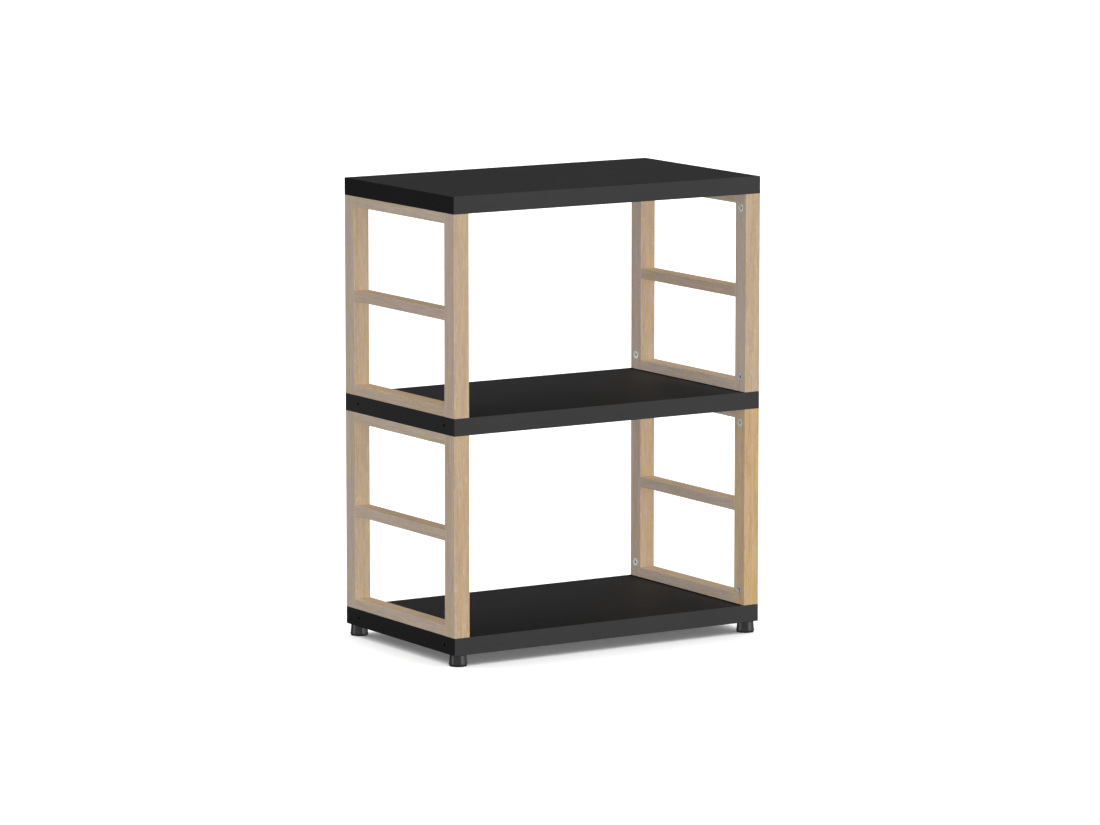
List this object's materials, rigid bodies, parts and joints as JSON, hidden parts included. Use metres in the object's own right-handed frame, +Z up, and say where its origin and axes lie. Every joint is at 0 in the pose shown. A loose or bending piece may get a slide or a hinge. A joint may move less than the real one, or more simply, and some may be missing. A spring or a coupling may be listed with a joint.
{
  "type": "desk hutch",
  "caption": "Open two-bay shelf unit: black laminated boards on oak ladder side frames, held by cam locks, on round levelling feet, for a desk or the floor.",
  "frame": {"origin": "on the surface the unit stands on, under the middle of the unit", "axes": "+X to the unit's right seen from the front, -Y towards the front, +Z up"},
  "size_m": [0.618, 0.364, 0.8],
  "materials": {
    "black_laminate": "black melamine laminate on chipboard, satin with a fine texture",
    "black_edge_band": "satin plastic edge band",
    "oak": "light oak, matt lacquer",
    "beech": "fluted beech dowel",
    "zinc_alloy": "die-cast zinc, dull bright",
    "zinc_plated_steel": "zinc plated",
    "brass": "turned brass",
    "foot_plastic": "moulded black plastic, satin",
    "glide_rubber": "black, matt"
  },
  "bodies": {
    "unit": {"bottom_board": "black_laminate", "middle_board": "black_laminate", "top_board": "black_laminate", "bottom_board_edging": "black_edge_band", "middle_board_edging": "black_edge_band", "top_board_edging": "black_edge_band", "lower_left_bottom_rail": "oak", "lower_left_rung": "oak", "lower_left_top_rail": "oak", "lower_left_front_post": "oak", "lower_left_rear_post": "oak", "lower_right_bottom_rail": "oak", "lower_right_rung": "oak", "lower_right_top_rail": "oak", "lower_right_front_post": "oak", "lower_right_rear_post": "oak", "upper_left_bottom_rail": "oak", "upper_left_rung": "oak", "upper_left_top_rail": "oak", "upper_left_front_post": "oak", "upper_left_rear_post": "oak", "upper_right_bottom_rail": "oak", "upper_right_rung": "oak", "upper_right_top_rail": "oak", "upper_right_front_post": "oak", "upper_right_rear_post": "oak", "rail_dowels": "beech", "connecting_bolts": "zinc_plated_steel", "foot_inserts": "brass"},
    "lower_left_front_bottom_cam_body": {"lower_left_front_bottom_cam": "zinc_alloy"},
    "lower_left_front_top_cam_body": {"lower_left_front_top_cam": "zinc_alloy"},
    "lower_left_rear_bottom_cam_body": {"lower_left_rear_bottom_cam": "zinc_alloy"},
    "lower_left_rear_top_cam_body": {"lower_left_rear_top_cam": "zinc_alloy"},
    "lower_right_front_bottom_cam_body": {"lower_right_front_bottom_cam": "zinc_alloy"},
    "lower_right_front_top_cam_body": {"lower_right_front_top_cam": "zinc_alloy"},
    "lower_right_rear_bottom_cam_body": {"lower_right_rear_bottom_cam": "zinc_alloy"},
    "lower_right_rear_top_cam_body": {"lower_right_rear_top_cam": "zinc_alloy"},
    "upper_left_front_bottom_cam_body": {"upper_left_front_bottom_cam": "zinc_alloy"},
    "upper_left_front_top_cam_body": {"upper_left_front_top_cam": "zinc_alloy"},
    "upper_left_rear_bottom_cam_body": {"upper_left_rear_bottom_cam": "zinc_alloy"},
    "upper_left_rear_top_cam_body": {"upper_left_rear_top_cam": "zinc_alloy"},
    "upper_right_front_bottom_cam_body": {"upper_right_front_bottom_cam": "zinc_alloy"},
    "upper_right_front_top_cam_body": {"upper_right_front_top_cam": "zinc_alloy"},
    "upper_right_rear_bottom_cam_body": {"upper_right_rear_bottom_cam": "zinc_alloy"},
    "upper_right_rear_top_cam_body": {"upper_right_rear_top_cam": "zinc_alloy"},
    "front_left_pad_body": {"front_left_glide_pad": "glide_rubber"},
    "front_left_foot_body": {"front_left_foot": "foot_plastic", "front_left_foot_stud": "zinc_plated_steel"},
    "front_right_pad_body": {"front_right_glide_pad": "glide_rubber"},
    "front_right_foot_body": {"front_right_foot": "foot_plastic", "front_right_foot_stud": "zinc_plated_steel"},
    "rear_left_pad_body": {"rear_left_glide_pad": "glide_rubber"},
    "rear_left_foot_body": {"rear_left_foot": "foot_plastic", "rear_left_foot_stud": "zinc_plated_steel"},
    "rear_right_pad_body": {"rear_right_glide_pad": "glide_rubber"},
    "rear_right_foot_body": {"rear_right_foot": "foot_plastic", "rear_right_foot_stud": "zinc_plated_steel"}
  },
  "joints": [
    {"name": "lower_left_front_bottom_cam_turn", "type": "hinge", "parent": "unit", "child": "lower_left_front_bottom_cam_body", "pos_m": [-0.2795, -0.166, 0.075], "axis": [1, 0, 0], "range_deg": [0, 180]},
    {"name": "lower_left_front_top_cam_turn", "type": "hinge", "parent": "unit", "child": "lower_left_front_top_cam_body", "pos_m": [-0.2795, -0.166, 0.37], "axis": [1, 0, 0], "range_deg": [0, 180]},
    {"name": "lower_left_rear_bottom_cam_turn", "type": "hinge", "parent": "unit", "child": "lower_left_rear_bottom_cam_body", "pos_m": [-0.2795, 0.166, 0.075], "axis": [1, 0, 0], "range_deg": [0, 180]},
    {"name": "lower_left_rear_top_cam_turn", "type": "hinge", "parent": "unit", "child": "lower_left_rear_top_cam_body", "pos_m": [-0.2795, 0.166, 0.37], "axis": [1, 0, 0], "range_deg": [0, 180]},
    {"name": "lower_right_front_bottom_cam_turn", "type": "hinge", "parent": "unit", "child": "lower_right_front_bottom_cam_body", "pos_m": [0.2795, -0.166, 0.075], "axis": [-1, 0, 0], "range_deg": [0, 180]},
    {"name": "lower_right_front_top_cam_turn", "type": "hinge", "parent": "unit", "child": "lower_right_front_top_cam_body", "pos_m": [0.2795, -0.166, 0.37], "axis": [-1, 0, 0], "range_deg": [0, 180]},
    {"name": "lower_right_rear_bottom_cam_turn", "type": "hinge", "parent": "unit", "child": "lower_right_rear_bottom_cam_body", "pos_m": [0.2795, 0.166, 0.075], "axis": [-1, 0, 0], "range_deg": [0, 180]},
    {"name": "lower_right_rear_top_cam_turn", "type": "hinge", "parent": "unit", "child": "lower_right_rear_top_cam_body", "pos_m": [0.2795, 0.166, 0.37], "axis": [-1, 0, 0], "range_deg": [0, 180]},
    {"name": "upper_left_front_bottom_cam_turn", "type": "hinge", "parent": "unit", "child": "upper_left_front_bottom_cam_body", "pos_m": [-0.2795, -0.166, 0.45], "axis": [1, 0, 0], "range_deg": [0, 180]},
    {"name": "upper_left_front_top_cam_turn", "type": "hinge", "parent": "unit", "child": "upper_left_front_top_cam_body", "pos_m": [-0.2795, -0.166, 0.745], "axis": [1, 0, 0], "range_deg": [0, 180]},
    {"name": "upper_left_rear_bottom_cam_turn", "type": "hinge", "parent": "unit", "child": "upper_left_rear_bottom_cam_body", "pos_m": [-0.2795, 0.166, 0.45], "axis": [1, 0, 0], "range_deg": [0, 180]},
    {"name": "upper_left_rear_top_cam_turn", "type": "hinge", "parent": "unit", "child": "upper_left_rear_top_cam_body", "pos_m": [-0.2795, 0.166, 0.745], "axis": [1, 0, 0], "range_deg": [0, 180]},
    {"name": "upper_right_front_bottom_cam_turn", "type": "hinge", "parent": "unit", "child": "upper_right_front_bottom_cam_body", "pos_m": [0.2795, -0.166, 0.45], "axis": [-1, 0, 0], "range_deg": [0, 180]},
    {"name": "upper_right_front_top_cam_turn", "type": "hinge", "parent": "unit", "child": "upper_right_front_top_cam_body", "pos_m": [0.2795, -0.166, 0.745], "axis": [-1, 0, 0], "range_deg": [0, 180]},
    {"name": "upper_right_rear_bottom_cam_turn", "type": "hinge", "parent": "unit", "child": "upper_right_rear_bottom_cam_body", "pos_m": [0.2795, 0.166, 0.45], "axis": [-1, 0, 0], "range_deg": [0, 180]},
    {"name": "upper_right_rear_top_cam_turn", "type": "hinge", "parent": "unit", "child": "upper_right_rear_top_cam_body", "pos_m": [0.2795, 0.166, 0.745], "axis": [-1, 0, 0], "range_deg": [0, 180]},
    {"name": "front_left_foot_height", "type": "slide", "parent": "unit", "child": "front_left_pad_body", "axis": [0, 0, -1], "range_m": [0, 0.008]},
    {"name": "front_left_foot_turn", "type": "hinge", "parent": "front_left_pad_body", "child": "front_left_foot_body", "pos_m": [-0.293, -0.166, 0.02], "axis": [0, 0, -1], "range_deg": [0, 2304]},
    {"name": "front_right_foot_height", "type": "slide", "parent": "unit", "child": "front_right_pad_body", "axis": [0, 0, -1], "range_m": [0, 0.008]},
    {"name": "front_right_foot_turn", "type": "hinge", "parent": "front_right_pad_body", "child": "front_right_foot_body", "pos_m": [0.293, -0.166, 0.02], "axis": [0, 0, -1], "range_deg": [0, 2304]},
    {"name": "rear_left_foot_height", "type": "slide", "parent": "unit", "child": "rear_left_pad_body", "axis": [0, 0, -1], "range_m": [0, 0.008]},
    {"name": "rear_left_foot_turn", "type": "hinge", "parent": "rear_left_pad_body", "child": "rear_left_foot_body", "pos_m": [-0.293, 0.166, 0.02], "axis": [0, 0, -1], "range_deg": [0, 2304]},
    {"name": "rear_right_foot_height", "type": "slide", "parent": "unit", "child": "rear_right_pad_body", "axis": [0, 0, -1], "range_m": [0, 0.008]},
    {"name": "rear_right_foot_turn", "type": "hinge", "parent": "rear_right_pad_body", "child": "rear_right_foot_body", "pos_m": [0.293, 0.166, 0.02], "axis": [0, 0, -1], "range_deg": [0, 2304]}
  ],
  "couplings": [
    {"joint": "front_left_foot_height", "follows": "front_left_foot_turn", "m_per_rad": 0.00019894},
    {"joint": "front_right_foot_height", "follows": "front_right_foot_turn", "m_per_rad": 0.00019894},
    {"joint": "rear_left_foot_height", "follows": "rear_left_foot_turn", "m_per_rad": 0.00019894},
    {"joint": "rear_right_foot_height", "follows": "rear_right_foot_turn", "m_per_rad": 0.00019894}
  ]
}
